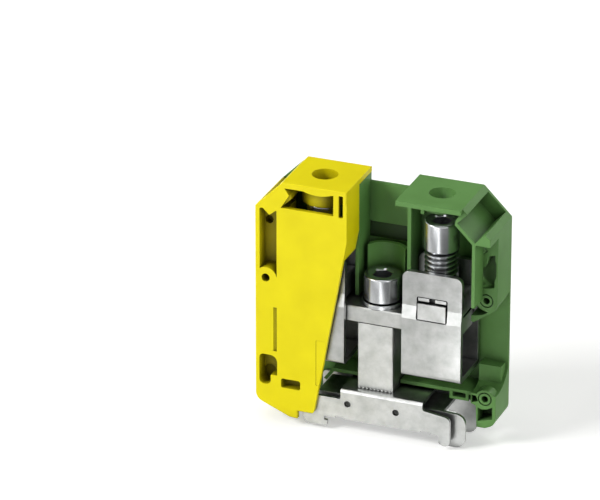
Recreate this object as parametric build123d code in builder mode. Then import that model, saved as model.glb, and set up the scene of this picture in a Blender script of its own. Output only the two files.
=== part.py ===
from build123d import *
from math import sqrt
import os

# Earth terminal block with a gripping foot, its front half-shell cut away for display.
# Lengths are millimetres. X runs along the conductor, Y from the front face to the
# back face, Z up. The origin is the middle of the footprint, on the plane of the
# lowest hook edges. Heights are worked out from seat_z, the height the foot sits at.

# Grip: two lips 35 mm apart over all, whose centre lies off the middle of the block
seat_z = 4.3
grip_width = 35.0
lip_thickness = 1.0
grip_x = 3.3
grip_gap = 0.3
lip_left = grip_x - grip_width / 2
lip_right = grip_x + grip_width / 2

# Screws and washer
clamp_thread_radius = 4.9
clamp_head_radius = 5.15
clamp_head_height = 8.9
centre_thread_radius = 3.0
centre_head_radius = 5.45
centre_head_height = 7.8
socket_flat = 5.0
socket_depth = 5.0
head_edge = 0.5
head_foot_edge = 0.5
bore_clearance = 0.06
turning_gap = 0.1
washer_radius = 5.9
washer_height = 1.2

# Across the block, from the middle outwards: bar, cage strap, gap, face
bar_half_width = 5.8
bar_side_gap = 0.7
cage_sheet = 1.6
cage_face_gap = 0.6
wall = 1.3
shell_gap = 0.1
cage_half_width = bar_half_width + bar_side_gap + cage_sheet
half_width = cage_half_width + cage_face_gap + wall

# Along the block, from the middle outwards: well, tower wall, cage, end case
tower_in = 7.3
tower_wall = 1.1
cage_end_gap = 0.35
cage_half_length = 8.95
case_gap = 0.75
case_depth = 7.8
clamp_x = tower_in + tower_wall + cage_end_gap + cage_half_length
case_x = clamp_x + cage_half_length + case_gap
half_length = case_x + case_depth

# Up the block, above the seat
floor_top_z = seat_z + 11.3
floor_thickness = 1.1
cage_z = seat_z + 16.8
funnel_axis_z = seat_z + 22.3
bar_z = seat_z + 30.1
bar_height = 4.9
bar_top_z = bar_z + bar_height
case_rise = 72.0
guide_drop = 7.6
guide_head_gap = 0.6
saddle_drop = 4.0
top_z = seat_z + case_rise
guide_z = top_z - guide_drop
clamp_head_z = guide_z - guide_head_gap - clamp_head_height
saddle_z = top_z - saddle_drop
top_plate = 1.5
under_plate_z = top_z - top_plate - shell_gap

# Moulded half-shells: two copies of one moulding, turned half round to each other
split_offset = 1.7
chamfer_run = 8.4
tower_out = half_length - chamfer_run
chamfer_foot_z = top_z - chamfer_run
foot_corner_z = seat_z + 2.65
foot_corner_radius = 3.0
foot_slope = 0.42
slope_run = 10.4
lower_run = 3.2
slope_end_z = foot_corner_z - foot_slope * slope_run
belly_x = half_length - 13.0
belly_z = seat_z + 0.6
face_edge = 0.25
face_y = -half_width
inner_y = face_y + wall
own_end_y = split_offset - shell_gap / 2
other_end_y = -split_offset - shell_gap / 2
middle_y = -shell_gap / 2
back_y = -inner_y - shell_gap

# Sloping channel moulded into each tower's chamfer
channel_lip = 2.1
channel_depth = 4.3
channel_width = 7.6
channel_wall = 1.0
thin_wall_x = half_length - 4.4

# End case: pin bosses, pockets and conductor funnel
funnel_radius = 10.6
funnel_length = 10.5
boss_x = half_length - 3.3
upper_boss_z = seat_z + 41.5
lower_boss_z = seat_z + 10.5
boss_radius = 3.3
collar_radius = 1.75
collar_groove = 0.35
pin_radius = 1.0
pocket_depth = 5.1
recess_depth = 4.4
lower_recess_depth = 4.2
lower_pit_depth = 5.4
face_pin_radius = 1.25
face_pin_depth = 6.5
pocket_wall = 0.8
recess_x = half_length - 6.6
recess_edge = 1.4
recess_shoulder = 63.1
recess_slant_run = 1.0
recess_slant_rise = 0.1
key_x = half_length - 14.6

# Screw guide, key holes and the guard behind the middle screw
key_hole_radius = 3.8
guide_bore = clamp_head_radius + 0.25
guide_radius = guide_bore + 1.1
key_collar = 2.5
guard_wall = 1.3
guard_radius = washer_radius + 0.4 + guard_wall
guard_reach = tower_in - 1.6
guard_top_z = seat_z + 50.9
groove_depth = 0.9
niche_depth = 0.9
niche_height = 4.8

# Bar and post
bar_half_length = clamp_x + 7.5
post_half_length = 5.35
screw_hole_radius = centre_thread_radius + 0.3

# Clamp cage: a strap bent to a U, and a tapped block held in its windows
cage_height = 32.9
cage_corner = 2.1
cage_step = 0.6
cage_step_z = seat_z + 35.2
cage_step_height = 4.0
window_half_length = 4.65
window_z = bar_top_z + 0.1
window_height = 7.2
window_corner = 0.6
lug_gap = 0.45
block_half_length = 7.6
block_z = bar_top_z + 0.4
block_height = 6.6
lug_step_height = 5.0
lug_groove = 0.6
lug_notch = 1.8
clamp_travel = 10.0

# Foot: outer frame, inner jaw and the nut between them
sheet = 1.0
frame_half_width = half_width - wall - shell_gap
web_gap = 2.0
jaw_side_gap = 1.9
jaw_half_width = frame_half_width - sheet - jaw_side_gap
web_left = lip_left + 4.7
web_right = lip_right - 5.3
web_z = seat_z + 9.4
wing_z = seat_z + 6.2
wing_foot_z = seat_z - 3.1
wing_left = lip_left - 7.0
wing_right = lip_right + 3.1
hook_reach = 0.9
jaw_right = lip_right + 6.7
jaw_left = lip_left - 3.3
jaw_shoulder = lip_right
jaw_web_top_z = web_z - sheet - web_gap
jaw_travel = 1.5
jaw_edge_z = seat_z + jaw_travel + grip_gap
notch_inset = 4.4
notch_width = 2.8
notch_height = 0.45
plate_hole_radius = 1.0
plate_hole_x = 7.4
plate_hole_z = seat_z + 4.9
nut_height = 5.0
nut_gap = 0.15
nut_top_z = jaw_web_top_z - sheet
screw_tip = 0.5

# Display cut through the front half-shell
cut_bend_z = seat_z + 56.35
cut_slope = 0.179
cut_corner = 1.2
overrun = 5.0

os.makedirs("parts", exist_ok=True)


def front_plane(y):
    # Upright plane at depth y: X to the right and Z up, facing the front
    return Plane(origin=(0, y, 0), x_dir=(1, 0, 0), z_dir=(0, -1, 0))


def draw(*points, mode=Mode.ADD):
    # Closed straight-sided outline as a filled face of the sketch it is called in
    with BuildLine() as outline:
        Polyline(*points, close=True)
    make_face(outline.edges(), mode=mode)


def draw_rounded(*corners):
    # Closed outline whose corners are each given as a point and the radius there
    with BuildLine() as outline:
        FilletPolyline(
            *[point for point, radius in corners],
            radius=[radius for point, radius in corners],
            close=True,
        )
    make_face(outline.edges())


def box_between(x0, x1, y0, y1, z0, z1, mode=Mode.ADD):
    # Box given by its limits along each axis
    with BuildSketch(Plane.XY.offset(z0)) as profile:
        with Locations(((x0 + x1) / 2, (y0 + y1) / 2)):
            Rectangle(abs(x1 - x0), abs(y1 - y0))
    extrude(profile.sketch, amount=z1 - z0, mode=mode)


def slot_between(x0, x1, z0, z1, y0, y1, corner, mode=Mode.SUBTRACT):
    # Rounded rectangular hole or pad between two depths
    with BuildSketch(front_plane(y0)) as profile:
        with Locations(((x0 + x1) / 2, (z0 + z1) / 2)):
            RectangleRounded(abs(x1 - x0), abs(z1 - z0), corner)
    extrude(profile.sketch, amount=y0 - y1, mode=mode)


def along_chamfer(along, deep):
    # Point given in the left chamfer's own directions: along it, then square to it inwards
    return (
        -tower_out - along / sqrt(2) + deep / sqrt(2),
        top_z - along / sqrt(2) - deep / sqrt(2),
    )


def case_point(inward, height):
    # Point on the left end case, measured from the outer end and from the seat
    return (inward - half_length, seat_z + height)


# The moulding, drawn as the front half: its face at the front, its own tower on the left
def face_plate():
    # Outline of the face; the far tower stops short of the other half's top plate
    far_corner = tower_out + top_plate + shell_gap
    with BuildSketch(front_plane(face_y)) as profile:
        draw_rounded(
            ((-half_length, chamfer_foot_z), 0.5),
            ((-tower_out, top_z), 0.5),
            ((-tower_in, top_z), 0),
            ((-tower_in, saddle_z), 0),
            ((tower_in, saddle_z), 0),
            ((tower_in, under_plate_z), 0),
            ((far_corner, under_plate_z), 0),
            ((half_length, chamfer_foot_z), 0.5),
            ((half_length, foot_corner_z), foot_corner_radius),
            ((half_length - slope_run, slope_end_z), 1.5),
            ((belly_x, slope_end_z - 0.15), 0.3),
            ((belly_x, belly_z), 0),
            ((-belly_x, belly_z), 0),
            ((-belly_x, slope_end_z - 0.15), 0.3),
            ((slope_run - half_length, slope_end_z), 1.5),
            ((-half_length, foot_corner_z), foot_corner_radius),
        )
    extrude(profile.sketch, amount=-wall)


def tower_top():
    # Top plate, sloping channel and thin inner wall in one section, across the whole width
    channel_end = channel_lip + channel_width
    floor_end = along_chamfer(channel_end, channel_depth)
    floor_under = along_chamfer(channel_end - 0.4, channel_depth + channel_wall)
    thin_wall_foot_z = upper_boss_z + 0.5
    with BuildSketch(front_plane(inner_y)) as profile:
        draw(
            (-tower_in, top_z),
            (-tower_out, top_z),
            along_chamfer(channel_lip, 0),
            along_chamfer(channel_lip, channel_depth),
            floor_end,
            along_chamfer(channel_end, 0),
            (-half_length, chamfer_foot_z),
            (-half_length, chamfer_foot_z - 2.1),
            (-thin_wall_x - 0.2, chamfer_foot_z - 2.1),
            (-thin_wall_x, chamfer_foot_z - 2.3),
            (-thin_wall_x, thin_wall_foot_z),
            (channel_wall - thin_wall_x, thin_wall_foot_z),
            (channel_wall - thin_wall_x, floor_under[1]),
            floor_under,
            along_chamfer(channel_lip, channel_depth + channel_wall),
            along_chamfer(channel_lip - 0.8, channel_depth - 0.2),
            along_chamfer(0.6, top_plate),
            (-tower_out + 2.0, top_z - top_plate),
            (-tower_in, top_z - top_plate),
        )
    extrude(profile.sketch, amount=inner_y - back_y)
    box_between(-tower_out, -tower_in, inner_y, half_width, top_z - top_plate, top_z)


def own_side_block():
    # Upper and lower blocks of the outer wall on the moulding's own side
    with BuildSketch(front_plane(face_y)) as profile:
        draw(
            case_point(0, 62.6),
            case_point(0, 40.6),
            case_point(0.8, 38.7),
            case_point(5.1, 35.6),
            case_point(7.0, 34.3),
            (-case_x, seat_z + 34.3),
            (-case_x, seat_z + 61.6),
            case_point(4.4, 61.6),
        )
        draw_rounded(
            (case_point(0, 18.0), 0),
            ((-half_length, foot_corner_z), foot_corner_radius),
            ((lower_run - half_length, foot_corner_z - foot_slope * lower_run), 0),
            ((-jaw_right - 2.0, seat_z + 1.3), 0),
            ((-jaw_right - 1.7, seat_z + 8.0), 0),
            ((-case_x - 0.3, seat_z + 8.6), 0),
            ((-case_x - 0.3, seat_z + 12.5), 0),
            ((-case_x - 0.6, seat_z + 18.0), 0),
        )
    extrude(profile.sketch, amount=face_y - own_end_y)


def other_side_tabs():
    # Tabs of the outer wall on the far side, which meet the other moulding's blocks
    tab_x = half_length - 3.9
    with BuildSketch(front_plane(face_y)) as profile:
        draw(
            (tab_x, seat_z + 61.2),
            (half_length, seat_z + 61.2),
            (half_length, seat_z + 41.0),
            (tab_x, seat_z + 41.0),
        )
        draw_rounded(
            ((case_x + 0.6, seat_z + 18.0), 0),
            ((half_length, seat_z + 18.0), 0),
            ((half_length, foot_corner_z), foot_corner_radius),
            ((half_length - lower_run, foot_corner_z - foot_slope * lower_run), 0),
            ((jaw_right + 2.0, seat_z + 1.3), 0),
            ((jaw_right + 1.7, seat_z + 8.0), 0),
        )
    extrude(profile.sketch, amount=face_y - other_end_y)
    latch_x = half_length - 1.2
    slot_between(latch_x, half_length + 2, seat_z + 48.8, seat_z + 54.4,
                 other_end_y - 2.0, other_end_y + 1, 0.4)


def wire_funnels():
    # U-shaped conductor guides on both ends, inside the face plate
    for side in (-1, 1):
        with BuildSketch(Plane.YZ.offset(side * (half_length + 1))) as profile:
            with Locations((0, funnel_axis_z)):
                Circle(funnel_radius)
            with Locations((face_y, funnel_axis_z)):
                Rectangle(2 * wall, 3 * funnel_radius, mode=Mode.SUBTRACT)
        extrude(profile.sketch, amount=-side * funnel_length, mode=Mode.SUBTRACT)
    # Thicker wall in the funnel's lower corner, behind the recess in the face
    corner_y = face_y + lower_recess_depth + pocket_wall
    box_between(-half_length + 0.8, -half_length + 7.5, inner_y, corner_y,
                seat_z + 11.0, seat_z + 18.1)
    # The lower pin boss stands a little proud of the funnel's floor
    with BuildSketch(front_plane(other_end_y)) as profile:
        with Locations((-boss_x, lower_boss_z)):
            Circle(boss_radius - 0.5)
    extrude(profile.sketch, amount=other_end_y - own_end_y)


def inner_walls():
    # Tower walls, chamber floor, key pocket, screw guard and the screw guide
    for side in (-1, 1):
        box_between(side * tower_in, side * (tower_in + tower_wall), inner_y, middle_y,
                    bar_top_z + 0.8, saddle_z)
    box_between(-tower_in - tower_wall, -tower_in, inner_y, middle_y, saddle_z, top_z - 1)
    box_between(tower_in, tower_in + tower_wall, inner_y, middle_y, saddle_z, under_plate_z)
    post_gap = post_half_length + 0.3
    floor_z = floor_top_z - floor_thickness
    with BuildSketch(front_plane(inner_y)) as profile:
        draw(
            (-case_x, floor_top_z),
            (-case_x, floor_z),
            (-web_right - 1.2, floor_z),
            (-post_gap, floor_z),
            (-post_gap, floor_top_z),
        )
        draw(
            (post_gap, floor_top_z),
            (-web_left + 5.8, floor_top_z),
            (-web_left + 8.5, floor_top_z - 3.7),
            (-web_left + 7.6, floor_top_z - 4.2),
            (-web_left + 5.3, floor_z),
            (post_gap, floor_z),
        )
    extrude(profile.sketch, amount=inner_y - middle_y)
    box_between(-key_x - 7.4, -key_x, inner_y, inner_y + 2.5, seat_z + 6.5, floor_top_z - 0.1)
    box_between(-key_x - 5.8, -key_x, inner_y, middle_y, seat_z + 8.1, floor_top_z - 0.1)
    # Screw guard: an arc behind the middle screw, with a web to the face and a niche above
    guard_foot_z = bar_top_z + 1.0
    with BuildSketch(Plane.XY.offset(guard_foot_z)) as profile:
        Circle(guard_radius)
        Circle(guard_radius - guard_wall, mode=Mode.SUBTRACT)
        with Locations((0, half_width - 2.8)):
            Rectangle(4 * tower_in, 2 * half_width, mode=Mode.SUBTRACT)
        with Locations((2 * guard_reach, 0), (-2 * guard_reach, 0)):
            Rectangle(2 * guard_reach, 4 * half_width, mode=Mode.SUBTRACT)
    extrude(profile.sketch, amount=guard_top_z - guard_foot_z)
    web_back_y = inner_y - wall / 2
    web_front_y = guard_wall - guard_radius
    with BuildSketch(Plane.XY.offset(guard_foot_z)) as profile:
        with Locations((0, (web_back_y + web_front_y) / 2)):
            Rectangle(guard_radius, web_front_y - web_back_y)
        Circle(guard_radius - guard_wall / 2, mode=Mode.SUBTRACT)
    extrude(profile.sketch, amount=guard_top_z - guard_foot_z - 2 * guard_wall)
    box_between(-tower_in, tower_in, inner_y - niche_depth, inner_y,
                guard_top_z, guard_top_z + niche_height, mode=Mode.SUBTRACT)
    # Guide for the clamp screw's head, hung from the tower's own top plate
    with BuildSketch(Plane.XY.offset(guide_z)) as profile:
        with Locations((-clamp_x, 0)):
            Circle(guide_radius)
            Circle(guide_bore, mode=Mode.SUBTRACT)
            with Locations((0, half_width + middle_y)):
                Rectangle(3 * guide_radius, 2 * half_width, mode=Mode.SUBTRACT)
    extrude(profile.sketch, amount=top_z - top_plate - guide_z)
    box_between(-clamp_x + guide_radius - 0.4, -tower_in - tower_wall / 2, middle_y - 1.2,
                middle_y, guide_z + 1.4, top_z - top_plate)
    # Key hole through the top plate and a collar under it
    with BuildSketch(Plane.XY.offset(top_z - top_plate - key_collar)) as profile:
        with Locations((-clamp_x, 0)):
            Circle((guide_bore + guide_radius) / 2)
    extrude(profile.sketch, amount=key_collar)
    with BuildSketch(Plane.XY.offset(top_z + wall)) as profile:
        with Locations((-clamp_x, 0)):
            Circle(key_hole_radius)
    extrude(profile.sketch, amount=-top_plate - key_collar - 2 * wall, mode=Mode.SUBTRACT)


def face_recesses():
    # Window over the screw guide, its edge sagging round the guide
    window_top_z = top_z - 1.7
    window_foot_z = guide_z - 0.3
    window_right = -tower_in - tower_wall - 2.95
    with BuildSketch(front_plane(face_y)) as profile:
        with BuildLine() as outline:
            Polyline(
                (-clamp_x - 2.8, window_top_z),
                (0.6 - tower_out, window_top_z),
                (2.0 - tower_out, window_top_z - 2.1),
                (-0.5 - tower_out, window_foot_z),
                (window_right, window_foot_z),
                (window_right, window_top_z + 0.1),
                (-clamp_x + 4.8, window_top_z - 0.3),
            )
            ThreePointArc(
                (-clamp_x + 4.8, window_top_z - 0.3),
                (-clamp_x + 1.2, window_top_z - 0.8),
                (-clamp_x - 2.8, window_top_z),
            )
        make_face(outline.edges())
    extrude(profile.sketch, amount=-wall, mode=Mode.SUBTRACT)
    slot_right = -tower_in - tower_wall - 0.05
    slot_between(slot_right - 1.3, slot_right, window_foot_z - 0.2, window_top_z + 0.3,
                 face_y, inner_y, 0.3)
    # Long recess beside the upper pin boss, with a blind pin hole near its top
    with BuildSketch(front_plane(face_y)) as profile:
        draw_rounded(
            (case_point(recess_edge, recess_shoulder), 0.4),
            (case_point(recess_edge + recess_slant_run, recess_shoulder + recess_slant_rise), 0.3),
            (case_point(4.4, 61.3), 0.3),
            ((-recess_x, seat_z + recess_shoulder), 0.2),
            ((-recess_x, upper_boss_z + 0.6), 0),
            ((recess_edge - half_length, upper_boss_z + 0.6), 0),
        )
        with Locations((-boss_x, upper_boss_z)):
            Circle(boss_radius, mode=Mode.SUBTRACT)
    extrude(profile.sketch, amount=-recess_depth, mode=Mode.SUBTRACT)
    with BuildSketch(front_plane(face_y)) as profile:
        with Locations(case_point(2.7, 57.9), (-boss_x - 0.1, upper_boss_z)):
            Circle(face_pin_radius)
    extrude(profile.sketch, amount=-face_pin_depth, mode=Mode.SUBTRACT)
    # Lower recess with its deeper pit, key pocket, finger groove and a faint sunk field
    with BuildSketch(front_plane(face_y)) as profile:
        draw_rounded(
            (case_point(1.2, 17.2), 1.2),
            (case_point(6.7, 17.2), 2.2),
            (case_point(6.7, 10.9), 0.2),
            (case_point(4.7, 10.9), 0.2),
            (case_point(4.7, 7.7), 1.5),
            (case_point(1.2, 7.7), 1.6),
        )
    extrude(profile.sketch, amount=-lower_recess_depth, mode=Mode.SUBTRACT)
    with BuildSketch(front_plane(face_y)) as profile:
        with Locations(case_point(2.95, 9.9)):
            RectangleRounded(3.5, 4.4, 1.5)
    extrude(profile.sketch, amount=-lower_pit_depth, mode=Mode.SUBTRACT)
    slot_between(-key_x - 6.7, -key_x - 0.8, seat_z + 7.4, seat_z + 10.3,
                 face_y, inner_y + 1.7, 0.6)
    slot_between(-key_x - 4.9, -key_x - 0.9, seat_z + 8.9, seat_z + 10.4,
                 inner_y, middle_y + 0.1, 0.3)
    with BuildSketch(Plane.XY.offset(seat_z + 18.6)) as profile:
        draw(
            (-half_length + 4.5, face_y),
            (-half_length + 6.6, face_y),
            (-half_length + 6.6, face_y + groove_depth),
            (-half_length + 5.7, face_y + groove_depth / 2),
            (-half_length + 5.5, face_y + groove_depth / 9),
        )
    extrude(profile.sketch, amount=13.9, mode=Mode.SUBTRACT)
    slot_between(-clamp_x + 1.1, -clamp_x + 4.2, seat_z + 9.9, seat_z + 24.3,
                 face_y, face_y + 0.12, 0.3)


def parting_face_details():
    # Pin holes with their collars, then pockets and latch gaps in the own side's parting face
    with BuildSketch(front_plane(own_end_y)) as profile:
        with Locations((-boss_x, upper_boss_z), (-boss_x, lower_boss_z)):
            Circle(pin_radius)
    extrude(profile.sketch, amount=4.0, mode=Mode.SUBTRACT)
    with BuildSketch(front_plane(own_end_y)) as profile:
        with Locations((-boss_x, upper_boss_z), (-boss_x, lower_boss_z)):
            Circle(collar_radius + collar_groove)
            Circle(collar_radius, mode=Mode.SUBTRACT)
    extrude(profile.sketch, amount=0.6, mode=Mode.SUBTRACT)
    with BuildSketch(front_plane(own_end_y)) as profile:
        # Gap between the thin wall and the block, with a hook-shaped head
        draw(
            case_point(8.3, 58.3),
            case_point(6.4, 58.6),
            case_point(5.0, 60.0),
            case_point(3.7, 59.5),
            case_point(3.6, 57.5),
            case_point(3.1, 56.8),
            case_point(4.5, 55.9),
            case_point(5.6, 54.7),
            case_point(4.9, 53.1),
            case_point(5.7, 52.0),
            case_point(5.7, 43.6),
            case_point(6.3, 42.0),
            case_point(6.3, 40.2),
            case_point(8.3, 40.2),
        )
        # Notch below the boss
        draw(
            case_point(8.3, 36.2),
            case_point(5.7, 36.6),
            case_point(4.2, 37.1),
            case_point(2.8, 38.0),
            case_point(4.2, 38.4),
            case_point(5.3, 38.9),
            case_point(6.3, 40.0),
            case_point(8.3, 40.3),
        )
        # Pocket under the lower boss and the gap beside it
        draw(
            case_point(5.4, 3.2),
            case_point(1.0, 4.4),
            case_point(1.0, 8.2),
            case_point(1.6, 7.9),
            case_point(2.8, 7.3),
            case_point(4.2, 7.1),
            case_point(5.4, 7.5),
        )
        draw(
            case_point(7.3, 11.3),
            case_point(6.0, 11.1),
            case_point(5.3, 9.5),
            case_point(7.3, 8.8),
        )
    extrude(profile.sketch, amount=pocket_depth, mode=Mode.SUBTRACT)
    with BuildSketch(front_plane(own_end_y)) as profile:
        # Shallower latch pocket above the boss
        draw(
            case_point(5.5, 51.1),
            case_point(3.6, 52.3),
            case_point(3.2, 53.0),
            case_point(2.6, 55.5),
            case_point(0.9, 56.1),
            case_point(0.9, 54.3),
            case_point(0.5, 53.5),
            case_point(0.5, 49.5),
            case_point(1.0, 48.0),
            case_point(1.0, 45.9),
            case_point(2.7, 45.5),
            case_point(4.8, 45.3),
            case_point(5.8, 45.9),
        )
    extrude(profile.sketch, amount=pocket_depth - 2.0, mode=Mode.SUBTRACT)


def moulded_half():
    with BuildPart() as half:
        face_plate()
        own_side_block()
        other_side_tabs()
        tower_top()
        rim = half.faces().filter_by(Axis.Y).sort_by(Axis.Y)[0].outer_wire().edges()
        chamfer(rim, face_edge)
        wire_funnels()
        inner_walls()
        face_recesses()
        parting_face_details()
    return half.part


moulding = moulded_half()

# Rear half-shell, green: the moulding turned half round
with BuildPart() as rear_shell:
    add(moulding, rotation=(0, 0, 180))
rear_shell.part.label = "rear_shell"
export_step(rear_shell.part, "parts/rear_shell.step")

# Front half-shell, yellow, cut away along the slanting line of the display section
cut_foot_x = -tower_in - cut_slope * cut_bend_z
with BuildPart() as front_cover:
    add(moulding)
    with BuildSketch(front_plane(face_y - overrun)):
        draw(
            (-tower_in, top_z + overrun),
            (-tower_in, cut_bend_z),
            (cut_foot_x, 0),
            (cut_foot_x, -overrun),
            (half_length + overrun, -overrun),
            (half_length + overrun, top_z + overrun),
        )
    extrude(amount=-2 * half_width - 2 * overrun, mode=Mode.SUBTRACT)
    # The section also takes the chamber floor back to the key pocket
    box_between(-key_x, 0, inner_y, wall, floor_top_z - overrun, floor_top_z + wall,
                mode=Mode.SUBTRACT)
    foot_edges = front_cover.edges().filter_by(Axis.Y).filter_by_position(
        Axis.Z, belly_z - 0.05, belly_z + 0.05)
    fillet(foot_edges.sort_by(Axis.X)[-1], cut_corner)
front_cover.part.label = "front_cover"
export_step(front_cover.part, "parts/front_cover.step")

# Current bar through both cages
with BuildPart() as current_bar:
    box_between(-bar_half_length, bar_half_length, -bar_half_width, bar_half_width,
                bar_z, bar_top_z)
    chamfer(current_bar.edges().filter_by(Axis.X), 0.3)
    with BuildSketch(Plane.XY.offset(bar_z)):
        Circle(screw_hole_radius)
    extrude(amount=bar_height, mode=Mode.SUBTRACT)
current_bar.part.label = "current_bar"
export_step(current_bar.part, "parts/current_bar.step")

# Earth post from the bar down to the foot
with BuildPart() as earth_post:
    box_between(-post_half_length, post_half_length, -bar_half_width, bar_half_width,
                web_z, bar_z)
    chamfer(earth_post.edges().filter_by(Axis.Z), 0.25)
    with BuildSketch(Plane.XY.offset(web_z)):
        Circle(screw_hole_radius)
    extrude(amount=bar_z - web_z, mode=Mode.SUBTRACT)
earth_post.part.label = "earth_post"
export_step(earth_post.part, "parts/earth_post.step")

# Washer under the middle screw's head
with BuildPart() as centre_washer:
    with BuildSketch(Plane.XY.offset(bar_top_z)):
        Circle(washer_radius)
        Circle(screw_hole_radius, mode=Mode.SUBTRACT)
    extrude(amount=washer_height)
    chamfer(centre_washer.edges().filter_by(GeomType.CIRCLE).group_by(Axis.Z)[-1], 0.2)
centre_washer.part.label = "centre_washer"
export_step(centre_washer.part, "parts/centre_washer.step")


def socket_screw(x, foot_z, head_z, head_height, head_radius, thread_radius):
    # Cylinder-head screw with a hexagon socket and a chamfered tip
    with BuildPart() as screw:
        with BuildSketch(Plane.XZ) as profile:
            draw(
                (0, foot_z),
                (thread_radius - 0.8, foot_z),
                (thread_radius, foot_z + 0.8),
                (thread_radius, head_z),
                (head_radius - head_foot_edge + 0.3, head_z),
                (head_radius, head_z + head_foot_edge),
                (head_radius, head_z + head_height - head_edge),
                (head_radius - head_edge, head_z + head_height),
                (0, head_z + head_height),
            )
        revolve(profile.sketch, axis=Axis.Z)
        with BuildSketch(Plane.XY.offset(head_z + head_height)) as profile:
            RegularPolygon(socket_flat / 2, 6, major_radius=False)
        extrude(profile.sketch, amount=-socket_depth, mode=Mode.SUBTRACT)
    return screw.part.moved(Location((x, 0, 0)))


centre_head_z = bar_top_z + washer_height + turning_gap
centre_screw_foot_z = nut_top_z - nut_height - screw_tip

with BuildPart() as centre_screw:
    add(socket_screw(0, centre_screw_foot_z, centre_head_z, centre_head_height,
                     centre_head_radius, centre_thread_radius))
centre_screw.part.label = "centre_screw"
export_step(centre_screw.part, "parts/centre_screw.step")


def clamp_cage(x):
    # Strap bent to a U, open along X, with a window in each upright
    outer = cage_half_width
    upper = cage_half_width - cage_step
    step_top = cage_step_z + cage_step_height
    cage_top = cage_z + cage_height
    with BuildPart() as cage:
        with BuildSketch(Plane.YZ.offset(x - cage_half_length)) as profile:
            draw(
                (-outer, cage_z),
                (outer, cage_z),
                (outer, cage_step_z),
                (upper, step_top),
                (upper, cage_top),
                (upper - cage_sheet, cage_top),
                (upper - cage_sheet, step_top),
                (outer - cage_sheet, cage_step_z),
                (outer - cage_sheet, cage_z + cage_sheet),
                (cage_sheet - outer, cage_z + cage_sheet),
                (cage_sheet - outer, cage_step_z),
                (cage_sheet - upper, step_top),
                (cage_sheet - upper, cage_top),
                (-upper, cage_top),
                (-upper, step_top),
                (-outer, cage_step_z),
            )
        extrude(profile.sketch, amount=2 * cage_half_length)
        bends = cage.edges().filter_by(Axis.X).group_by(Axis.Z)
        fillet(bends[0], cage_sheet)
        corners = cage.edges().filter_by(Axis.Y).group_by(Axis.Z)[-1]
        fillet(corners, cage_corner)
        with BuildSketch(front_plane(-outer - 1)) as profile:
            with Locations((x, window_z + window_height / 2)):
                RectangleRounded(2 * window_half_length, window_height, window_corner)
        extrude(profile.sketch, amount=-2 * outer - 2, mode=Mode.SUBTRACT)
    return cage.part


def tapped_block(x):
    # Block that rides in the cage, its lugs in both windows
    inside = cage_half_width - cage_step - cage_sheet - 0.05
    lug_out = cage_half_width - 0.1
    lug_half = window_half_length - lug_gap
    step_z = block_z + lug_step_height
    with BuildPart() as block:
        box_between(x - block_half_length, x + block_half_length, -inside, inside,
                    block_z, block_z + block_height)
        chamfer(block.edges().filter_by(Axis.Y), 0.5)
        box_between(x - lug_half, x + lug_half, -lug_out, lug_out,
                    block_z, block_z + lug_step_height)
        box_between(x - lug_half, x + lug_half, -lug_out + 0.6, lug_out - 0.6,
                    step_z + lug_groove, block_z + block_height)
        for side in (-1, 1):
            box_between(x - 0.9, x + 0.9, side * inside, side * (lug_out + 1),
                        step_z, block_z + block_height + 1, mode=Mode.SUBTRACT)
        with BuildSketch(Plane.XY.offset(block_z)) as profile:
            with Locations((x, 0)):
                Circle(clamp_thread_radius + bore_clearance)
        extrude(profile.sketch, amount=block_height, mode=Mode.SUBTRACT)
    return block.part


clamp_screw_foot_z = bar_top_z + turning_gap

for side_name, side_x in (("left", -clamp_x), ("right", clamp_x)):
    with BuildPart() as cage_part:
        add(clamp_cage(side_x))
    cage_part.part.label = side_name + "_cage"
    export_step(cage_part.part, "parts/" + side_name + "_cage.step")

    with BuildPart() as block_part:
        add(tapped_block(side_x))
    block_part.part.label = side_name + "_tapped_block"
    export_step(block_part.part, "parts/" + side_name + "_tapped_block.step")

    with BuildPart() as screw_part:
        add(socket_screw(side_x, clamp_screw_foot_z, clamp_head_z, clamp_head_height,
                         clamp_head_radius, clamp_thread_radius))
    screw_part.part.label = side_name + "_clamp_screw"
    export_step(screw_part.part, "parts/" + side_name + "_clamp_screw.step")

# Foot frame: two stamped plates joined by a web, whose left hooks are fixed
def frame_plate():
    # Front plate of the frame, seen from the front
    hook_top = seat_z - lip_thickness - grip_gap
    hook_x = lip_left + hook_reach - grip_gap
    with BuildSketch(front_plane(-frame_half_width)) as profile:
        draw_rounded(
            ((wing_left, wing_z), 1.2),
            ((web_left, wing_z), 0.5),
            ((web_left, web_z), 0),
            ((web_right, web_z), 0),
            ((web_right, wing_z + 0.8), 0.8),
            ((wing_right, wing_z - 0.3), 2.0),
            ((wing_right, wing_foot_z), 1.6),
            ((lip_right + grip_gap, wing_foot_z), 0.8),
            ((lip_right + grip_gap, seat_z), 0.3),
            ((lip_left - grip_gap, seat_z), 0.3),
            ((lip_left - grip_gap, hook_top), 0),
            ((hook_x, hook_top), 0.2),
            ((hook_x, wing_foot_z), 0.6),
            ((wing_left + 1.0, wing_foot_z), 1.6),
            ((wing_left, seat_z), 1.0),
        )
    extrude(profile.sketch, amount=-sheet)


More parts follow.
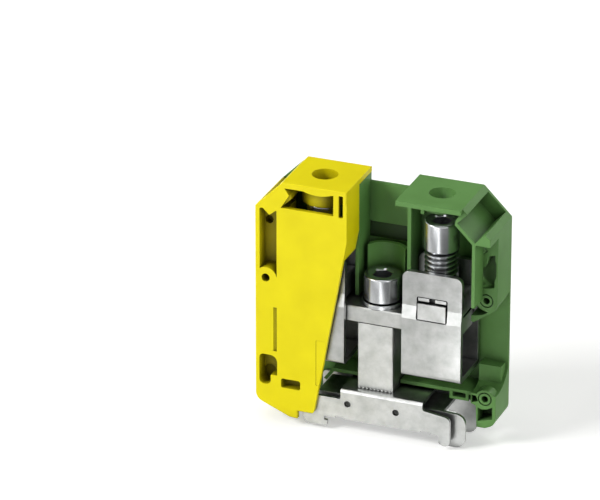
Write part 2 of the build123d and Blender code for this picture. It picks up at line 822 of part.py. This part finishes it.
with BuildPart() as foot_frame:
    frame_plate()
    mirror(about=Plane.XZ)
    box_between(web_left, web_right, -frame_half_width, frame_half_width, web_z - sheet, web_z)
    with BuildSketch(front_plane(-frame_half_width - sheet)):
        with Locations((-plate_hole_x, plate_hole_z), (plate_hole_x, plate_hole_z)):
            Circle(plate_hole_radius)
        with Locations((lip_left + notch_inset, seat_z), (lip_right - notch_inset, seat_z)):
            Rectangle(notch_width, 2 * notch_height)
    extrude(amount=-2 * frame_half_width - 2 * sheet, mode=Mode.SUBTRACT)
    with BuildSketch(Plane.XY.offset(web_z)):
        Circle(screw_hole_radius)
    extrude(amount=-sheet, mode=Mode.SUBTRACT)
    bends = foot_frame.edges().filter_by(Axis.X).filter_by_position(Axis.Z, web_z - 0.01, web_z + 0.01)
    fillet(bends, sheet)
foot_frame.part.label = "foot_frame"
export_step(foot_frame.part, "parts/foot_frame.step")

# Foot jaw: a second stamping nested in the frame, whose right hooks move
def jaw_plate():
    # Front plate of the jaw, seen from the front
    hook_top = seat_z - lip_thickness - grip_gap
    hook_x = lip_right - hook_reach - 0.5
    with BuildSketch(front_plane(-jaw_half_width)) as profile:
        draw_rounded(
            ((jaw_left, jaw_edge_z), 0.5),
            ((jaw_left, jaw_web_top_z), 0),
            ((jaw_shoulder, jaw_web_top_z), 0),
            ((jaw_right, jaw_web_top_z - 0.4), 2.8),
            ((jaw_right, 0), 3.0),
            ((hook_x, 0), 0.8),
            ((hook_x, hook_top), 0.2),
            ((lip_right + grip_gap, hook_top), 0),
            ((lip_right + grip_gap, jaw_edge_z), 0.3),
        )
    extrude(profile.sketch, amount=-sheet)


with BuildPart() as foot_jaw:
    jaw_plate()
    mirror(about=Plane.XZ)
    box_between(jaw_left, jaw_shoulder, -jaw_half_width, jaw_half_width,
                jaw_web_top_z - sheet, jaw_web_top_z)
    with BuildSketch(Plane.XY.offset(jaw_web_top_z)):
        Circle(screw_hole_radius)
    extrude(amount=-sheet, mode=Mode.SUBTRACT)
foot_jaw.part.label = "foot_jaw"
export_step(foot_jaw.part, "parts/foot_jaw.step")

# Square nut held between the jaw's plates
with BuildPart() as foot_nut:
    nut_half = jaw_half_width - sheet - nut_gap
    box_between(-nut_half, nut_half, -nut_half, nut_half, nut_top_z - nut_height, nut_top_z)
    chamfer(foot_nut.edges().filter_by(Axis.Z), 0.6)
    with BuildSketch(Plane.XY.offset(nut_top_z)):
        Circle(centre_thread_radius + bore_clearance)
    extrude(amount=-nut_height, mode=Mode.SUBTRACT)
foot_nut.part.label = "foot_nut"
export_step(foot_nut.part, "parts/foot_nut.step")
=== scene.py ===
import math

import bmesh
import bpy
from mathutils import Matrix, Vector


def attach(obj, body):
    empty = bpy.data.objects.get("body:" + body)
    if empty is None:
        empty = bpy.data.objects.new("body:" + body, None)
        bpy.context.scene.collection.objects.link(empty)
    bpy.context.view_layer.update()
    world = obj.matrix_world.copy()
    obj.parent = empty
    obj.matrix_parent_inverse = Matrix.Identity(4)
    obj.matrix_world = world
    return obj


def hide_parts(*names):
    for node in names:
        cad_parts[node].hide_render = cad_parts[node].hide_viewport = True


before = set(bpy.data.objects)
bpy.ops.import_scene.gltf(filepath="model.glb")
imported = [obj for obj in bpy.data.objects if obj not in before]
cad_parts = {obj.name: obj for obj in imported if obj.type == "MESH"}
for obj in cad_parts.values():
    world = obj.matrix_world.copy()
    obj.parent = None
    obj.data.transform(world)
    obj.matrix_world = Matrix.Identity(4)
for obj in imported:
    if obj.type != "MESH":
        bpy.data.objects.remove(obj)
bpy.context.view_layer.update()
mm = 0.001
white = (1, 1, 1, 1)
print("frame loaded:", len(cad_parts), "nodes")


def linear(red, green, blue):
    # screen colour, 0 to 255, as the linear colour that Blender works in
    out = []
    for value in (red, green, blue):
        share = value / 255
        out.append(share / 12.92 if share <= 0.04045 else ((share + 0.055) / 1.055) ** 2.4)
    return (*out, 1.0)


def newMaterial(name):
    material = bpy.data.materials.new(name)
    material.use_nodes = True
    tree = material.node_tree
    return material, tree, tree.nodes["Principled BSDF"]


def objectPlace(tree):
    return tree.nodes.new("ShaderNodeTexCoord").outputs["Object"]


def noiseFrom(tree, place, scale, detail, roughness=0.5):
    noise = tree.nodes.new("ShaderNodeTexNoise")
    noise.inputs["Scale"].default_value = scale
    noise.inputs["Detail"].default_value = detail
    noise.inputs["Roughness"].default_value = roughness
    tree.links.new(place, noise.inputs["Vector"])
    return noise.outputs["Fac"]


def mottleFrom(tree, source, look):
    # colour that runs from low to high as the source goes from lowAt to highAt
    ramp = tree.nodes.new("ShaderNodeValToRGB")
    first, last = ramp.color_ramp.elements
    first.position, first.color = look["lowAt"], look["low"]
    last.position, last.color = look["highAt"], look["high"]
    tree.links.new(source, ramp.inputs["Fac"])
    return ramp.outputs["Color"]


def rangeFrom(tree, source, low, high, fromLow=0.0, fromHigh=1.0):
    # the source's fromLow to fromHigh, spread over low to high
    spread = tree.nodes.new("ShaderNodeMapRange")
    spread.inputs["From Min"].default_value = fromLow
    spread.inputs["From Max"].default_value = fromHigh
    spread.inputs["To Min"].default_value = low
    spread.inputs["To Max"].default_value = high
    tree.links.new(source, spread.inputs["Value"])
    return spread.outputs["Result"]


def largerOf(tree, first, second):
    larger = tree.nodes.new("ShaderNodeMath")
    larger.operation = "MAXIMUM"
    tree.links.new(first, larger.inputs[0])
    tree.links.new(second, larger.inputs[1])
    return larger.outputs["Value"]


def vectorStep(tree, operation, source, other=(0, 0, 0)):
    step = tree.nodes.new("ShaderNodeVectorMath")
    step.operation = operation
    step.inputs[1].default_value = other
    tree.links.new(source, step.inputs[0])
    return step.outputs["Vector"]


def darken(tree, colour, amount):
    # an amount of 1 leaves the colour as it is
    shaded = tree.nodes.new("ShaderNodeMix")
    shaded.data_type = "RGBA"
    shaded.blend_type = "MULTIPLY"
    shaded.inputs["Factor"].default_value = 1.0
    tree.links.new(colour, shaded.inputs["A"])
    tree.links.new(amount, shaded.inputs["B"])
    return shaded.outputs["Result"]


# painted shade in recesses: the colour darkens where other surfaces stand close by
recess = {"samples": 8, "closed": 0.2, "open": 0.85}


# paints shade into the colour: darker where the ambient occlusion finds surfaces close by
def paintRecessShade(tree, colour, look):
    nearby = tree.nodes.new("ShaderNodeAmbientOcclusion")
    nearby.samples = recess["samples"]
    nearby.inputs["Distance"].default_value = look["paintedShadeReach"]
    openness = nearby.outputs["AO"]
    amount = rangeFrom(tree, openness, look["paintedShadeDarkest"], 1.0, recess["closed"], recess["open"])
    return darken(tree, colour, amount)


# painted shade: the niche in the channel's wall is darkened in colour, for deeper shade than its
# shallow depth gives
paintedNicheShade = {
    "middle": (0.0, 9.25 * mm, 57.6 * mm),
    "half": (7.4 * mm, 0.5 * mm, 2.5 * mm),
    "edge": 0.1 * mm,
    "darkest": 0.3,
}


# paints shade into the colour inside the box, fading out over the box's edge
def paintShadeInBox(tree, place, colour, box):
    fromMiddle = vectorStep(tree, "SUBTRACT", place, box["middle"])
    away = vectorStep(tree, "ABSOLUTE", fromMiddle)
    outside = vectorStep(tree, "SUBTRACT", away, box["half"])
    parts = tree.nodes.new("ShaderNodeSeparateXYZ")
    tree.links.new(outside, parts.inputs["Vector"])
    level = largerOf(tree, parts.outputs["X"], parts.outputs["Y"])
    most = largerOf(tree, level, parts.outputs["Z"])
    amount = rangeFrom(tree, most, box["darkest"], 1.0, -box["edge"], 0.0)
    return darken(tree, colour, amount)


# edges catch the light on a small radius, with the grain of the surface laid over it
def softEdge(tree, shader, grain, look, samples=4):
    bevel = tree.nodes.new("ShaderNodeBevel")
    bevel.samples = samples
    bevel.inputs["Radius"].default_value = look["edgeRadius"]
    bump = tree.nodes.new("ShaderNodeBump")
    bump.inputs["Strength"].default_value = look["grainStrength"]
    bump.inputs["Distance"].default_value = look["grainDepth"]
    tree.links.new(grain, bump.inputs["Height"])
    tree.links.new(bevel.outputs["Normal"], bump.inputs["Normal"])
    tree.links.new(bump.outputs["Normal"], shader.inputs["Normal"])


# moulded polyamide: even colour with a faint flow mottle and the mould's fine grain
plastic = {
    "flowScale": 110,
    "flowDetail": 4,
    "lowAt": 0.3,
    "highAt": 0.7,
    "grainScale": 7000,
    "grainDetail": 3,
    "grainStrength": 0.12,
    "grainDepth": 0.04 * mm,
    "edgeRadius": 0.18 * mm,
    "roughness": 0.45,
    "specular": 0.2,
    "refraction": 1.5,
}
plasticColours = {
    "yellowPlastic": {
        "low": linear(238, 222, 8),
        "high": linear(246, 231, 12),
        "paintedShadeReach": 8 * mm,
        "paintedShadeDarkest": 0.2,
    },
    "greenPlastic": {
        "low": linear(94, 139, 73),
        "high": linear(102, 149, 81),
        "paintedShadeReach": 5 * mm,
        "paintedShadeDarkest": 0.3,
    },
}


def mouldedPlastic(name, look):
    material, tree, shader = newMaterial(name)
    place = objectPlace(tree)
    flow = noiseFrom(tree, place, look["flowScale"], look["flowDetail"])
    # painted shade: the mottled colour darkens in recesses and in the niche
    shaded = paintRecessShade(tree, mottleFrom(tree, flow, look), look)
    shaded = paintShadeInBox(tree, place, shaded, paintedNicheShade)
    tree.links.new(shaded, shader.inputs["Base Color"])
    grain = noiseFrom(tree, place, look["grainScale"], look["grainDetail"])
    softEdge(tree, shader, grain, look)
    shader.inputs["Roughness"].default_value = look["roughness"]
    shader.inputs["Specular IOR Level"].default_value = look["specular"]
    shader.inputs["IOR"].default_value = look["refraction"]
    return material


# plated steel: pale, slightly cloudy, with a fine rolled grain
plating = {
    "cloudDetail": 5,
    "cloudRoughness": 0.62,
    "lowAt": 0.3,
    "highAt": 0.68,
    "paintedShadeReach": 2.5 * mm,
    "paintedShadeDarkest": 0.1,
    "shinier": 0.03,  # how far the clouds take the roughness down and up
    "duller": 0.07,
    "grainScale": 5000,
    "grainDetail": 3,
    "grainStrength": 0.04,
    "grainDepth": 0.02 * mm,
    "edgeRadius": 0.1 * mm,
}
platingColours = {
    "sheetSteel": {
        "low": linear(174, 176, 174),
        "high": linear(203, 204, 203),
        "cloudScale": 260,
        "roughness": 0.28,
    },
    # painted shade: the cages' plating is the sheet's, made darker for the dimmer light they stand
    # in
    "shadedCageSteel": {
        "low": linear(158, 160, 158),
        "high": linear(184, 185, 184),
        "cloudScale": 260,
        "roughness": 0.28,
    },
    # painted shade: the sheet's plating, darkened nearly to black in the narrow gaps round the
    # lugs
    "blockSteel": {
        "low": linear(174, 176, 174),
        "high": linear(203, 204, 203),
        "cloudScale": 260,
        "roughness": 0.3,
        "paintedShadeDarkest": 0.02,
    },
    "barMetal": {
        "low": linear(160, 162, 159),
        "high": linear(188, 189, 187),
        "cloudScale": 200,
        "roughness": 0.32,
    },
    "postMetal": {
        "low": linear(172, 174, 171),
        "high": linear(203, 204, 202),
        "cloudScale": 200,
        "roughness": 0.32,
    },
}


def platedSteel(name, look):
    material, tree, shader = newMaterial(name)
    place = objectPlace(tree)
    detail, roughness = look["cloudDetail"], look["cloudRoughness"]
    clouds = noiseFrom(tree, place, look["cloudScale"], detail, roughness)
    # painted shade: the cloudy colour darkens in recesses
    shaded = paintRecessShade(tree, mottleFrom(tree, clouds, look), look)
    tree.links.new(shaded, shader.inputs["Base Color"])
    shinier, duller = look["roughness"] - look["shinier"], look["roughness"] + look["duller"]
    tree.links.new(rangeFrom(tree, clouds, shinier, duller), shader.inputs["Roughness"])
    grain = noiseFrom(tree, place, look["grainScale"], look["grainDetail"])
    softEdge(tree, shader, grain, look)
    shader.inputs["Metallic"].default_value = 1.0
    return material


# turned steel: fine rings left by the lathe, level all the way round the upright screws
turning = {
    "low": linear(168, 170, 172),
    "high": linear(186, 188, 190),
    "lowAt": 0.3,
    "highAt": 0.7,
    "tintScale": 90,
    "tintDetail": 2,
    "ringScale": 6000,
    "ringDetail": 2,
    "ringStretch": (0.02, 0.02, 1.0),
    "paintedShadeReach": 1.6 * mm,
    "paintedShadeDarkest": 0.05,
    "grainStrength": 0.2,
    "grainDepth": 0.01 * mm,
    "edgeRadius": 0.08 * mm,
    "roughness": 0.27,
}


def turnedSteel(name, look):
    material, tree, shader = newMaterial(name)
    place = objectPlace(tree)
    stretch = tree.nodes.new("ShaderNodeMapping")
    stretch.inputs["Scale"].default_value = look["ringStretch"]
    tree.links.new(place, stretch.inputs["Vector"])
    rings = noiseFrom(tree, stretch.outputs["Vector"], look["ringScale"], look["ringDetail"])
    tint = noiseFrom(tree, place, look["tintScale"], look["tintDetail"])
    # painted shade: the tinted colour darkens in the socket and between the thread's ridges
    shaded = paintRecessShade(tree, mottleFrom(tree, tint, look), look)
    tree.links.new(shaded, shader.inputs["Base Color"])
    softEdge(tree, shader, rings, look)
    shader.inputs["Roughness"].default_value = look["roughness"]
    shader.inputs["Metallic"].default_value = 1.0
    return material


finishes = {"screwSteel": turnedSteel("screwSteel", turning)}
for name, look in plasticColours.items():
    finishes[name] = mouldedPlastic(name, {**plastic, **look})
for name, look in platingColours.items():
    finishes[name] = platedSteel(name, {**plating, **look})

nodeFinishes = {
    "rear_shell": "greenPlastic",
    "front_cover": "yellowPlastic",
    "current_bar": "barMetal",
    "earth_post": "postMetal",
    "centre_washer": "screwSteel",
    "centre_screw": "screwSteel",
    "left_cage": "shadedCageSteel",
    "right_cage": "shadedCageSteel",
    "left_tapped_block": "blockSteel",
    "right_tapped_block": "blockSteel",
    "left_clamp_screw": "screwSteel",
    "right_clamp_screw": "screwSteel",
    "foot_frame": "sheetSteel",
    "foot_jaw": "sheetSteel",
    "foot_nut": "sheetSteel",
}
for nodeName, finishName in nodeFinishes.items():
    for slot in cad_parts[nodeName].material_slots:
        slot.material = finishes[finishName]
print("finishes set")


def softenEdges(bm, edges, size, segments):
    bmesh.ops.bevel(
        bm,
        geom=edges,
        offset=size,
        segments=segments,
        profile=0.5,
        affect="EDGES",
        material=-1,
    )


def linkedObject(bm, name):
    mesh = bpy.data.meshes.new(name)
    bm.to_mesh(mesh)
    bm.free()
    made = bpy.data.objects.new(name, mesh)
    bpy.context.scene.collection.objects.link(made)
    return made


def finishedPiece(bm, name, finishName, sharpAngle):
    bmesh.ops.recalc_face_normals(bm, faces=bm.faces)
    made = linkedObject(bm, name)
    for face in made.data.polygons:
        face.use_smooth = True
    made.data.set_sharp_from_angle(angle=math.radians(sharpAngle))
    made.data.materials.append(finishes[finishName])
    return made


# socket-head screws with a real thread, in place of the plain solids
screwSizes = {
    "segments": 96,
    "threadDepth": 0.6,  # share of the pitch
    "threadFoot": 0.44,  # half the ridge's width at its root, as a share of the pitch
    "crestHalf": 0.12 * mm,
    "buried": 0.05 * mm,  # how far the ridge reaches into the core
    "tip": 0.5 * mm,
    "headRound": 0.5 * mm,
    "headRoundSteps": 4,
    "headFoot": 0.5 * mm,
    "socketFlat": 5.0 * mm,
    "socketSides": 6,
    "socketDepth": 4.6 * mm,
    "mouth": 0.75 * mm,
    "mouthDrop": 0.35 * mm,
    "near": 0.01 * mm,  # a ring's edges are found within this
    "merge": 0.001 * mm,
    "sharpAngle": 28,
}
clampScrew = {
    "foot": 39.4 * mm,
    "head": 59.2 * mm,
    "top": 68.1 * mm,
    "headRadius": 5.15 * mm,
    "crest": 4.88 * mm,
    "pitch": 1.5 * mm,
    "threadSteps": 60,
}
centreScrew = {
    "foot": 4.2 * mm,
    "head": 40.6 * mm,
    "top": 48.4 * mm,
    "headRadius": 5.45 * mm,
    "crest": 2.98 * mm,
    "pitch": 1.0 * mm,
    "threadSteps": 24,  # hardly seen, inside the post
}
screwPlaces = [
    ("leftClampScrew", "left_clamp_screw", "left_screw", -17.7 * mm, clampScrew),
    ("rightClampScrew", "right_clamp_screw", "right_screw", 17.7 * mm, clampScrew),
    ("middleScrew", "centre_screw", "middle_screw", 0.0, centreScrew),
]


def ringEdges(bm, radius, height, near):
    # edges of the turned ring at this radius and height
    ring = []
    for edge in bm.edges:
        ends = [(math.hypot(v.co.x, v.co.y) - radius, v.co.z - height) for v in edge.verts]
        if all(abs(out) < near and abs(up) < near for out, up in ends):
            ring.append(edge)
    return ring


def turnShape(bm, screw, sizes, root, mouth):
    # half outline from the tip on the axis to the mouth of the socket, spun round
    outline = [
        (0, screw["foot"]),
        (root, screw["foot"]),
        (root, screw["head"]),
        (screw["headRadius"], screw["head"]),
        (screw["headRadius"], screw["top"]),
        (mouth, screw["top"]),
    ]
    corners = [bm.verts.new((radius, 0, height)) for radius, height in outline]
    lines = [bm.edges.new(pair) for pair in zip(corners, corners[1:])]
    bmesh.ops.spin(
        bm,
        geom=corners + lines,
        axis=(0, 0, 1),
        cent=(0, 0, 0),
        angle=2 * math.pi,
        steps=sizes["segments"],
        use_merge=True,
    )
    bmesh.ops.remove_doubles(bm, verts=bm.verts, dist=sizes["merge"])
    roundedRings = [
        (root, screw["foot"], sizes["tip"], 1),
        (screw["headRadius"], screw["head"], sizes["headFoot"], 1),
        (screw["headRadius"], screw["top"], sizes["headRound"], sizes["headRoundSteps"]),
    ]
    for radius, height, size, segments in roundedRings:
        softenEdges(bm, ringEdges(bm, radius, height, sizes["near"]), size, segments)


def sinkSocket(bm, screw, sizes, mouth):
    # hexagon below the mouth's ring, bridged to it, and pulled down to the socket's floor
    rim = ringEdges(bm, mouth, screw["top"], sizes["near"])
    sides = sizes["socketSides"]
    corner = sizes["socketFlat"] / 2 / math.cos(math.pi / sides)
    bmesh.ops.create_circle(bm, cap_ends=False, radius=corner, segments=sides)
    hexagon = [edge for edge in bm.edges if edge.is_wire]
    bmesh.ops.subdivide_edges(bm, edges=hexagon, cuts=sizes["segments"] // sides - 1)
    hexagon = [edge for edge in bm.edges if edge.is_wire]
    loose = list({vert for edge in hexagon for vert in edge.verts})
    bmesh.ops.translate(bm, verts=loose, vec=(0, 0, screw["top"] - sizes["mouthDrop"]))
    bmesh.ops.bridge_loops(bm, edges=rim + hexagon)
    walls = bmesh.ops.extrude_edge_only(bm, edges=hexagon)["geom"]
    low = [part for part in walls if isinstance(part, bmesh.types.BMVert)]
    bmesh.ops.translate(bm, verts=low, vec=(0, 0, -sizes["socketDepth"]))
    bmesh.ops.edgeloop_fill(bm, edges=[edge for edge in bm.edges if edge.is_boundary])


def cutThread(bm, screw, sizes, root):
    # ridge section swept up a helix from the tip into the head, with both ends capped
    pitch = screw["pitch"]
    footHalf = sizes["threadFoot"] * pitch
    start = screw["foot"] + sizes["tip"] + footHalf
    turns = (screw["head"] - start) / pitch
    steps = int(turns * screw["threadSteps"])
    inner = root - sizes["buried"]
    section = [
        (inner, start - footHalf),
        (screw["crest"], start - sizes["crestHalf"]),
        (screw["crest"], start + sizes["crestHalf"]),
        (inner, start + footHalf),
    ]
    corners = [bm.verts.new((radius, 0, height)) for radius, height in section]
    lines = [bm.edges.new(pair) for pair in zip(corners, corners[1:] + corners[:1])]
    bmesh.ops.spin(
        bm,
        geom=corners + lines,
        axis=(0, 0, 1),
        cent=(0, 0, 0),
        dvec=(0, 0, pitch / screw["threadSteps"]),
        angle=2 * math.pi * steps / screw["threadSteps"],
        steps=steps,
    )
    ends = [edge for edge in bm.edges if edge.is_boundary]
    bmesh.ops.holes_fill(bm, edges=ends, sides=len(section))


def makeScrew(name, node, body, across, screw, sizes):
    root = screw["crest"] - sizes["threadDepth"] * screw["pitch"]
    mouth = sizes["socketFlat"] / 2 + sizes["mouth"]
    bm = bmesh.new()
    turnShape(bm, screw, sizes, root, mouth)
    sinkSocket(bm, screw, sizes, mouth)
    cutThread(bm, screw, sizes, root)
    bmesh.ops.translate(bm, verts=bm.verts, vec=(across, 0, 0))
    made = finishedPiece(bm, name, "screwSteel", sizes["sharpAngle"])
    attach(made, body)
    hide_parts(node)


for name, node, body, across, screw in screwPlaces:
    makeScrew(name, node, body, across, screw, screwSizes)
print("screws made")

# row of small upset teeth where the post is riveted into the foot
teethSizes = {
    "count": 9,
    "first": -4.6 * mm,
    "step": 1.15 * mm,
    "width": 0.5 * mm,
    "height": 0.55 * mm,
    "deep": 0.3 * mm,
    "postFront": -5.8 * mm,
    "foot": 13.7 * mm,
    "bevel": 0.06 * mm,
    "bevelSteps": 2,
    "sharpAngle": 30,
}


def makeTeeth(sizes):
    bm = bmesh.new()
    middle = sizes["postFront"] - sizes["deep"] / 2
    up = sizes["foot"] + sizes["height"] / 2
    for step in range(sizes["count"]):
        corners = bmesh.ops.create_cube(bm, size=1)["verts"]
        toothSize = (sizes["width"], sizes["deep"], sizes["height"])
        bmesh.ops.scale(bm, verts=corners, vec=toothSize)
        across = sizes["first"] + step * sizes["step"]
        bmesh.ops.translate(bm, verts=corners, vec=(across, middle, up))
    softenEdges(bm, bm.edges[:], sizes["bevel"], sizes["bevelSteps"])
    made = finishedPiece(bm, "postTeeth", "postMetal", sizes["sharpAngle"])
    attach(made, "block")


makeTeeth(teethSizes)
print("teeth made")


def seenDirectly(tree):
    # 1 for what the camera sees itself or in metal and glass, 0 for the light on the object
    rays = tree.nodes.new("ShaderNodeLightPath")
    either = largerOf(tree, rays.outputs["Is Camera Ray"], rays.outputs["Is Glossy Ray"])
    return largerOf(tree, either, rays.outputs["Is Transmission Ray"])


def dullMaterial(name, colour, roughness=0.9):
    material, tree, shader = newMaterial(name)
    shader.inputs["Base Color"].default_value = colour
    shader.inputs["Roughness"].default_value = roughness
    shader.inputs["Emission Color"].default_value = white
    return material, tree, shader


# pale floor, lifted to white where it is seen and not where it lights the object
floorSize = {"halfSide": 1.6, "colour": linear(238, 238, 236), "lift": 0.4}


def makeFloor(size):
    bm = bmesh.new()
    bmesh.ops.create_grid(bm, x_segments=1, y_segments=1, size=size["halfSide"])
    floor = linkedObject(bm, "floor")
    material, tree, shader = dullMaterial("paleFloor", size["colour"])
    lift = rangeFrom(tree, seenDirectly(tree), 0.0, size["lift"])
    tree.links.new(lift, shader.inputs["Emission Strength"])
    floor.data.materials.append(material)


makeFloor(floorSize)
print("floor made")

# cards that only reflections see: dark above and behind, grey and bright in front.
# An aimed card faces the middle of the object, and the others lie flat just over the floor.
aim = Vector((0, 0, 0.04))
cards = [
    {
        "name": "darkBoard",
        "size": (0.9, 0.5),
        "place": (-0.22, 0.56, 0.31),
        "aimed": True,
        "grey": 12,
        "glow": 0.0,
    },
    {
        "name": "frontCard",
        "size": (0.25, 0.12),
        "place": (-0.08, -0.155, 0.001),
        "aimed": False,
        "grey": 165,
        "glow": 0.0,
    },
    {
        "name": "rightCard",
        "size": (0.5, 0.5),
        "place": (0.3, -0.12, 0.002),
        "aimed": False,
        "grey": 110,
        "glow": 0.0,
    },
    {
        "name": "bandCard",  # shows in the slanting band of the cages
        "size": (0.2, 0.05),
        "place": (-0.1, -0.34, 0.03),
        "aimed": True,
        "grey": 255,
        "glow": 6.5,
    },
    {
        "name": "brightStrip",
        "size": (0.02, 0.3),
        "place": (0.018, -0.2, 0.003),
        "aimed": False,
        "grey": 255,
        "glow": 4.0,
    },
]


def makeCard(values):
    bm = bmesh.new()
    bmesh.ops.create_grid(bm, x_segments=1, y_segments=1, size=0.5)  # one metre square
    bmesh.ops.scale(bm, verts=bm.verts, vec=(*values["size"], 1))
    card = linkedObject(bm, values["name"])
    card.location = Vector(values["place"])
    if values["aimed"]:
        card.rotation_euler = (aim - card.location).to_track_quat("Z", "Y").to_euler()
    grey = values["grey"]
    material, tree, shader = dullMaterial(values["name"], linear(grey, grey, grey))
    shader.inputs["Emission Strength"].default_value = values["glow"]
    card.data.materials.append(material)
    card.visible_camera = False
    card.visible_diffuse = False
    card.visible_shadow = False


for values in cards:
    makeCard(values)
print("cards made")

# studio: broad soft lamps, placed by azimuth from the front, elevation and distance
lamps = [
    {"name": "keyLamp", "azimuth": -50, "elevation": 34, "away": 1.2, "side": 0.4, "power": 10.5},
    {"name": "fillLamp", "azimuth": 60, "elevation": 22, "away": 1.2, "side": 0.6, "power": 4.5},
    {"name": "backLamp", "azimuth": 168, "elevation": 30, "away": 1.2, "side": 0.5, "power": 4},
    {"name": "topLamp", "azimuth": -100, "elevation": 80, "away": 1.2, "side": 0.6, "power": 2},
]


def addLamp(values):
    lamp = bpy.data.lights.new(values["name"], "AREA")
    lamp.shape = "SQUARE"
    lamp.size = values["side"]
    lamp.energy = values["power"]
    across = math.radians(values["azimuth"])
    rise = math.radians(values["elevation"])
    flat = math.cos(rise)
    way = Vector((flat * math.sin(across), -flat * math.cos(across), math.sin(rise)))
    holder = bpy.data.objects.new(values["name"], lamp)
    holder.location = aim + way * values["away"]
    holder.rotation_euler = way.to_track_quat("Z", "Y").to_euler()
    bpy.context.scene.collection.objects.link(holder)


for values in lamps:
    addLamp(values)

# the world: a little light on the object, and white where it is seen
worldLight = {"onObject": 0.1, "seen": 1.0}


def makeWorld(values):
    world = bpy.data.worlds.new("studio")
    bpy.context.scene.world = world
    world.use_nodes = True
    tree = world.node_tree
    background = tree.nodes["Background"]
    background.inputs["Color"].default_value = white
    strength = rangeFrom(tree, seenDirectly(tree), values["onObject"], values["seen"])
    tree.links.new(strength, background.inputs["Strength"])


makeWorld(worldLight)
print("lamps and world made")

# camera: a long lens, high and to the right of the front face
view = {
    "place": (0.4526, -1.2108, 0.6523),
    "right": (0.9302, 0.3672, 0.0),
    "up": (-0.1539, 0.3899, 0.9079),
    "back": (0.3334, -0.8445, 0.4192),
    "lens": 300.6,
    "sensor": 36,
    "farthest": 20,
}


def placeCamera(values):
    lens = bpy.data.cameras.new("camera")
    lens.sensor_width = values["sensor"]
    lens.lens = values["lens"]
    lens.clip_end = values["farthest"]
    camera = bpy.data.objects.new("camera", lens)
    turn = Matrix((values["right"], values["up"], values["back"])).transposed().to_4x4()
    camera.matrix_world = Matrix.Translation(values["place"]) @ turn
    bpy.context.scene.collection.objects.link(camera)
    bpy.context.scene.camera = camera


placeCamera(view)
bpy.context.scene.view_settings.view_transform = "Standard"
print("camera placed")
